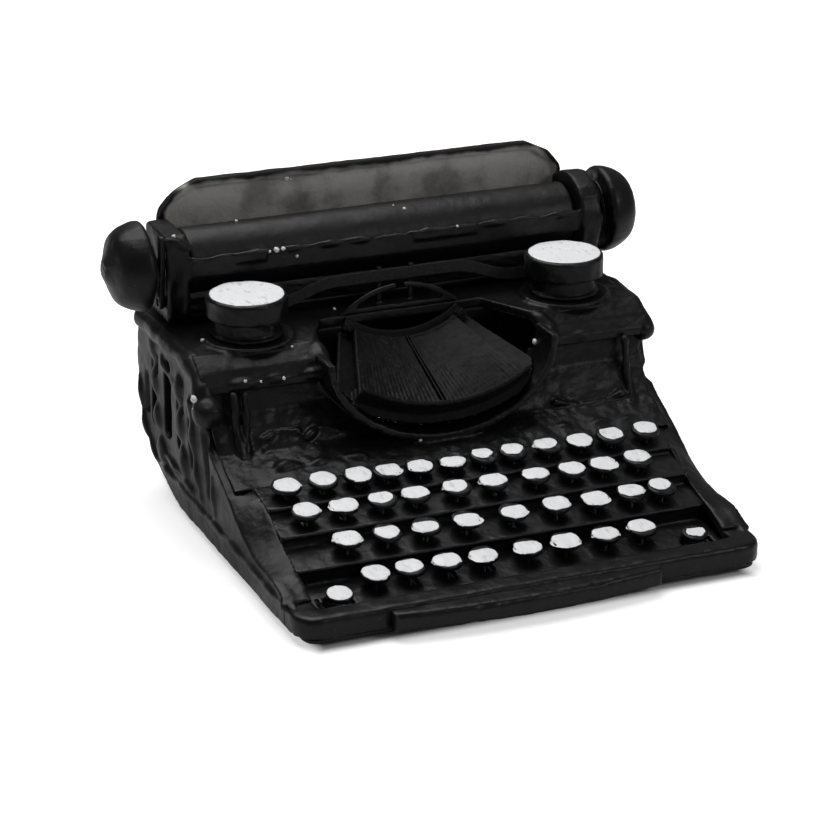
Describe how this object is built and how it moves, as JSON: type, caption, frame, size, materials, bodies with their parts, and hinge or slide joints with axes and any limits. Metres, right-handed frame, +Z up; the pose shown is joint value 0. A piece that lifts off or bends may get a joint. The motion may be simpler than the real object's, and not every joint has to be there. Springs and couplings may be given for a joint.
{
  "type": "desk typewriter",
  "caption": "Front-strike desk typewriter with round keys, sliding carriage, turning platen and spools, swinging typebar.",
  "frame": {"origin": "on the table, under the middle of the machine's overall width and depth", "axes": "+X to the operator's right along the platen, +Y away from the operator, +Z up"},
  "size_m": [0.322, 0.2662, 0.174],
  "materials": {
    "black_enamel": "satin black enamel over a soft casting",
    "grey_black_enamel": "thin worn black enamel with a grey sheen",
    "blackened_steel": "blackened steel, satin",
    "white_top": "hand-painted white over black",
    "platen_rubber": "hard black rubber",
    "ribbon_cloth": "inked cloth",
    "foot_rubber": "matt black rubber"
  },
  "bodies": {
    "frame": {"base_frame": "black_enamel", "rubber_feet": "foot_rubber", "front_rail": "black_enamel", "side_frames": "black_enamel", "rear_panel": "black_enamel", "top_deck": "black_enamel", "front_panel": "black_enamel", "keyboard_tray": "black_enamel", "lever_shaft": "blackened_steel", "type_segment": "blackened_steel", "typebars": "blackened_steel", "ribbon": "ribbon_cloth"},
    "carriage": {"carriage_frame": "black_enamel", "paper_table": "grey_black_enamel"},
    "platen": {"platen": "platen_rubber"},
    "line_space_lever": {"line_space_lever": "black_enamel"},
    "shift_keys": {"shift_keys": "white_top"},
    "space_bar": {"space_bar": "black_enamel"},
    "typebar_centre": {"typebar_centre": "blackened_steel"},
    "ribbon_spool_left": {"ribbon_spool_left": "white_top"},
    "ribbon_spool_right": {"ribbon_spool_right": "white_top"},
    "key_01": {"key_01": "white_top"},
    "key_02": {"key_02": "white_top"},
    "key_03": {"key_03": "white_top"},
    "key_04": {"key_04": "white_top"},
    "key_05": {"key_05": "white_top"},
    "key_06": {"key_06": "white_top"},
    "key_07": {"key_07": "white_top"},
    "key_08": {"key_08": "white_top"},
    "key_09": {"key_09": "white_top"},
    "key_10": {"key_10": "white_top"},
    "key_11": {"key_11": "white_top"},
    "key_12": {"key_12": "white_top"},
    "key_13": {"key_13": "white_top"},
    "key_14": {"key_14": "white_top"},
    "key_15": {"key_15": "white_top"},
    "key_16": {"key_16": "white_top"},
    "key_17": {"key_17": "white_top"},
    "key_18": {"key_18": "white_top"},
    "key_19": {"key_19": "white_top"},
    "key_20": {"key_20": "white_top"},
    "key_21": {"key_21": "white_top"},
    "key_22": {"key_22": "white_top"},
    "key_23": {"key_23": "white_top"},
    "key_24": {"key_24": "white_top"},
    "key_25": {"key_25": "white_top"},
    "key_26": {"key_26": "white_top"},
    "key_27": {"key_27": "white_top"},
    "key_28": {"key_28": "white_top"},
    "key_29": {"key_29": "white_top"},
    "key_30": {"key_30": "white_top"},
    "key_31": {"key_31": "white_top"},
    "key_32": {"key_32": "white_top"},
    "key_33": {"key_33": "white_top"},
    "key_34": {"key_34": "white_top"},
    "key_35": {"key_35": "white_top"},
    "key_36": {"key_36": "white_top"},
    "key_37": {"key_37": "white_top"},
    "key_38": {"key_38": "white_top"},
    "key_39": {"key_39": "white_top"}
  },
  "joints": [
    {"name": "shift_press", "type": "hinge", "parent": "frame", "child": "shift_keys", "pos_m": [0, 0.092, 0.021], "axis": [1, 0, 0], "range_deg": [0, 1.6], "stiffness_Nm_per_rad": 1.2, "springref_deg": -11.46},
    {"name": "space_press", "type": "hinge", "parent": "frame", "child": "space_bar", "pos_m": [0, 0.092, 0.021], "axis": [1, 0, 0], "range_deg": [0, 0.785], "stiffness_Nm_per_rad": 2.5, "springref_deg": -17.19},
    {"name": "typebar_swing", "type": "hinge", "parent": "frame", "child": "typebar_centre", "pos_m": [0, 0.058, 0.088], "axis": [-1, 0, 0], "range_deg": [0, 130.1], "stiffness_Nm_per_rad": 0.001, "springref_deg": -34.38},
    {"name": "spool_left_spin", "type": "hinge", "parent": "frame", "child": "ribbon_spool_left", "pos_m": [-0.095, 0.056, 0.116], "axis": [0, 0, 1], "continuous": true},
    {"name": "spool_right_spin", "type": "hinge", "parent": "frame", "child": "ribbon_spool_right", "pos_m": [0.095, 0.056, 0.116], "axis": [0, 0, 1], "continuous": true},
    {"name": "carriage_slide", "type": "slide", "parent": "frame", "child": "carriage", "axis": [1, 0, 0], "range_m": [-0.09, 0.09]},
    {"name": "platen_spin", "type": "hinge", "parent": "carriage", "child": "platen", "pos_m": [0, 0.1035, 0.134], "axis": [1, 0, 0], "continuous": true},
    {"name": "line_space_press", "type": "hinge", "parent": "carriage", "child": "line_space_lever", "pos_m": [-0.1323, 0.092, 0.116], "axis": [1, 0, 0], "range_deg": [0, 20], "stiffness_Nm_per_rad": 0.05, "springref_deg": -17.19},
    {"name": "key_01_press", "type": "hinge", "parent": "frame", "child": "key_01", "pos_m": [0, 0.092, 0.021], "axis": [1, 0, 0], "range_deg": [0, 1.61], "stiffness_Nm_per_rad": 0.3, "springref_deg": -11.46},
    {"name": "key_02_press", "type": "hinge", "parent": "frame", "child": "key_02", "pos_m": [0, 0.092, 0.021], "axis": [1, 0, 0], "range_deg": [0, 1.61], "stiffness_Nm_per_rad": 0.3, "springref_deg": -11.46},
    {"name": "key_03_press", "type": "hinge", "parent": "frame", "child": "key_03", "pos_m": [0, 0.092, 0.021], "axis": [1, 0, 0], "range_deg": [0, 1.61], "stiffness_Nm_per_rad": 0.3, "springref_deg": -11.46},
    {"name": "key_04_press", "type": "hinge", "parent": "frame", "child": "key_04", "pos_m": [0, 0.092, 0.021], "axis": [1, 0, 0], "range_deg": [0, 1.61], "stiffness_Nm_per_rad": 0.3, "springref_deg": -11.46},
    {"name": "key_05_press", "type": "hinge", "parent": "frame", "child": "key_05", "pos_m": [0, 0.092, 0.021], "axis": [1, 0, 0], "range_deg": [0, 1.61], "stiffness_Nm_per_rad": 0.3, "springref_deg": -11.46},
    {"name": "key_06_press", "type": "hinge", "parent": "frame", "child": "key_06", "pos_m": [0, 0.092, 0.021], "axis": [1, 0, 0], "range_deg": [0, 1.61], "stiffness_Nm_per_rad": 0.3, "springref_deg": -11.46},
    {"name": "key_07_press", "type": "hinge", "parent": "frame", "child": "key_07", "pos_m": [0, 0.092, 0.021], "axis": [1, 0, 0], "range_deg": [0, 1.61], "stiffness_Nm_per_rad": 0.3, "springref_deg": -11.46},
    {"name": "key_08_press", "type": "hinge", "parent": "frame", "child": "key_08", "pos_m": [0, 0.092, 0.021], "axis": [1, 0, 0], "range_deg": [0, 1.61], "stiffness_Nm_per_rad": 0.3, "springref_deg": -11.46},
    {"name": "key_09_press", "type": "hinge", "parent": "frame", "child": "key_09", "pos_m": [0, 0.092, 0.021], "axis": [1, 0, 0], "range_deg": [0, 1.61], "stiffness_Nm_per_rad": 0.3, "springref_deg": -11.46},
    {"name": "key_10_press", "type": "hinge", "parent": "frame", "child": "key_10", "pos_m": [0, 0.092, 0.021], "axis": [1, 0, 0], "range_deg": [0, 1.61], "stiffness_Nm_per_rad": 0.3, "springref_deg": -11.46},
    {"name": "key_11_press", "type": "hinge", "parent": "frame", "child": "key_11", "pos_m": [0, 0.092, 0.021], "axis": [1, 0, 0], "range_deg": [0, 1.61], "stiffness_Nm_per_rad": 0.3, "springref_deg": -11.46},
    {"name": "key_12_press", "type": "hinge", "parent": "frame", "child": "key_12", "pos_m": [0, 0.092, 0.021], "axis": [1, 0, 0], "range_deg": [0, 1.61], "stiffness_Nm_per_rad": 0.3, "springref_deg": -11.46},
    {"name": "key_13_press", "type": "hinge", "parent": "frame", "child": "key_13", "pos_m": [0, 0.092, 0.021], "axis": [1, 0, 0], "range_deg": [0, 1.61], "stiffness_Nm_per_rad": 0.3, "springref_deg": -11.46},
    {"name": "key_14_press", "type": "hinge", "parent": "frame", "child": "key_14", "pos_m": [0, 0.092, 0.021], "axis": [1, 0, 0], "range_deg": [0, 1.61], "stiffness_Nm_per_rad": 0.3, "springref_deg": -11.46},
    {"name": "key_15_press", "type": "hinge", "parent": "frame", "child": "key_15", "pos_m": [0, 0.092, 0.021], "axis": [1, 0, 0], "range_deg": [0, 1.61], "stiffness_Nm_per_rad": 0.3, "springref_deg": -11.46},
    {"name": "key_16_press", "type": "hinge", "parent": "frame", "child": "key_16", "pos_m": [0, 0.092, 0.021], "axis": [1, 0, 0], "range_deg": [0, 1.61], "stiffness_Nm_per_rad": 0.3, "springref_deg": -11.46},
    {"name": "key_17_press", "type": "hinge", "parent": "frame", "child": "key_17", "pos_m": [0, 0.092, 0.021], "axis": [1, 0, 0], "range_deg": [0, 1.61], "stiffness_Nm_per_rad": 0.3, "springref_deg": -11.46},
    {"name": "key_18_press", "type": "hinge", "parent": "frame", "child": "key_18", "pos_m": [0, 0.092, 0.021], "axis": [1, 0, 0], "range_deg": [0, 1.61], "stiffness_Nm_per_rad": 0.3, "springref_deg": -11.46},
    {"name": "key_19_press", "type": "hinge", "parent": "frame", "child": "key_19", "pos_m": [0, 0.092, 0.021], "axis": [1, 0, 0], "range_deg": [0, 1.61], "stiffness_Nm_per_rad": 0.3, "springref_deg": -11.46},
    {"name": "key_20_press", "type": "hinge", "parent": "frame", "child": "key_20", "pos_m": [0, 0.092, 0.021], "axis": [1, 0, 0], "range_deg": [0, 1.61], "stiffness_Nm_per_rad": 0.3, "springref_deg": -11.46},
    {"name": "key_21_press", "type": "hinge", "parent": "frame", "child": "key_21", "pos_m": [0, 0.092, 0.021], "axis": [1, 0, 0], "range_deg": [0, 1.61], "stiffness_Nm_per_rad": 0.3, "springref_deg": -11.46},
    {"name": "key_22_press", "type": "hinge", "parent": "frame", "child": "key_22", "pos_m": [0, 0.092, 0.021], "axis": [1, 0, 0], "range_deg": [0, 1.61], "stiffness_Nm_per_rad": 0.3, "springref_deg": -11.46},
    {"name": "key_23_press", "type": "hinge", "parent": "frame", "child": "key_23", "pos_m": [0, 0.092, 0.021], "axis": [1, 0, 0], "range_deg": [0, 1.61], "stiffness_Nm_per_rad": 0.3, "springref_deg": -11.46},
    {"name": "key_24_press", "type": "hinge", "parent": "frame", "child": "key_24", "pos_m": [0, 0.092, 0.021], "axis": [1, 0, 0], "range_deg": [0, 1.61], "stiffness_Nm_per_rad": 0.3, "springref_deg": -11.46},
    {"name": "key_25_press", "type": "hinge", "parent": "frame", "child": "key_25", "pos_m": [0, 0.092, 0.021], "axis": [1, 0, 0], "range_deg": [0, 1.61], "stiffness_Nm_per_rad": 0.3, "springref_deg": -11.46},
    {"name": "key_26_press", "type": "hinge", "parent": "frame", "child": "key_26", "pos_m": [0, 0.092, 0.021], "axis": [1, 0, 0], "range_deg": [0, 1.61], "stiffness_Nm_per_rad": 0.3, "springref_deg": -11.46},
    {"name": "key_27_press", "type": "hinge", "parent": "frame", "child": "key_27", "pos_m": [0, 0.092, 0.021], "axis": [1, 0, 0], "range_deg": [0, 1.61], "stiffness_Nm_per_rad": 0.3, "springref_deg": -11.46},
    {"name": "key_28_press", "type": "hinge", "parent": "frame", "child": "key_28", "pos_m": [0, 0.092, 0.021], "axis": [1, 0, 0], "range_deg": [0, 1.61], "stiffness_Nm_per_rad": 0.3, "springref_deg": -11.46},
    {"name": "key_29_press", "type": "hinge", "parent": "frame", "child": "key_29", "pos_m": [0, 0.092, 0.021], "axis": [1, 0, 0], "range_deg": [0, 1.61], "stiffness_Nm_per_rad": 0.3, "springref_deg": -11.46},
    {"name": "key_30_press", "type": "hinge", "parent": "frame", "child": "key_30", "pos_m": [0, 0.092, 0.021], "axis": [1, 0, 0], "range_deg": [0, 1.61], "stiffness_Nm_per_rad": 0.3, "springref_deg": -11.46},
    {"name": "key_31_press", "type": "hinge", "parent": "frame", "child": "key_31", "pos_m": [0, 0.092, 0.021], "axis": [1, 0, 0], "range_deg": [0, 1.61], "stiffness_Nm_per_rad": 0.3, "springref_deg": -11.46},
    {"name": "key_32_press", "type": "hinge", "parent": "frame", "child": "key_32", "pos_m": [0, 0.092, 0.021], "axis": [1, 0, 0], "range_deg": [0, 1.61], "stiffness_Nm_per_rad": 0.3, "springref_deg": -11.46},
    {"name": "key_33_press", "type": "hinge", "parent": "frame", "child": "key_33", "pos_m": [0, 0.092, 0.021], "axis": [1, 0, 0], "range_deg": [0, 1.61], "stiffness_Nm_per_rad": 0.3, "springref_deg": -11.46},
    {"name": "key_34_press", "type": "hinge", "parent": "frame", "child": "key_34", "pos_m": [0, 0.092, 0.021], "axis": [1, 0, 0], "range_deg": [0, 1.61], "stiffness_Nm_per_rad": 0.3, "springref_deg": -11.46},
    {"name": "key_35_press", "type": "hinge", "parent": "frame", "child": "key_35", "pos_m": [0, 0.092, 0.021], "axis": [1, 0, 0], "range_deg": [0, 1.61], "stiffness_Nm_per_rad": 0.3, "springref_deg": -11.46},
    {"name": "key_36_press", "type": "hinge", "parent": "frame", "child": "key_36", "pos_m": [0, 0.092, 0.021], "axis": [1, 0, 0], "range_deg": [0, 1.61], "stiffness_Nm_per_rad": 0.3, "springref_deg": -11.46},
    {"name": "key_37_press", "type": "hinge", "parent": "frame", "child": "key_37", "pos_m": [0, 0.092, 0.021], "axis": [1, 0, 0], "range_deg": [0, 1.61], "stiffness_Nm_per_rad": 0.3, "springref_deg": -11.46},
    {"name": "key_38_press", "type": "hinge", "parent": "frame", "child": "key_38", "pos_m": [0, 0.092, 0.021], "axis": [1, 0, 0], "range_deg": [0, 1.61], "stiffness_Nm_per_rad": 0.3, "springref_deg": -11.46},
    {"name": "key_39_press", "type": "hinge", "parent": "frame", "child": "key_39", "pos_m": [0, 0.092, 0.021], "axis": [1, 0, 0], "range_deg": [0, 1.61], "stiffness_Nm_per_rad": 0.3, "springref_deg": -11.46}
  ],
  "couplings": [
    {"joint": "key_18_press", "follows": "typebar_swing", "ratio": 0.012405},
    {"joint": "spool_right_spin", "follows": "spool_left_spin", "ratio": 1}
  ]
}
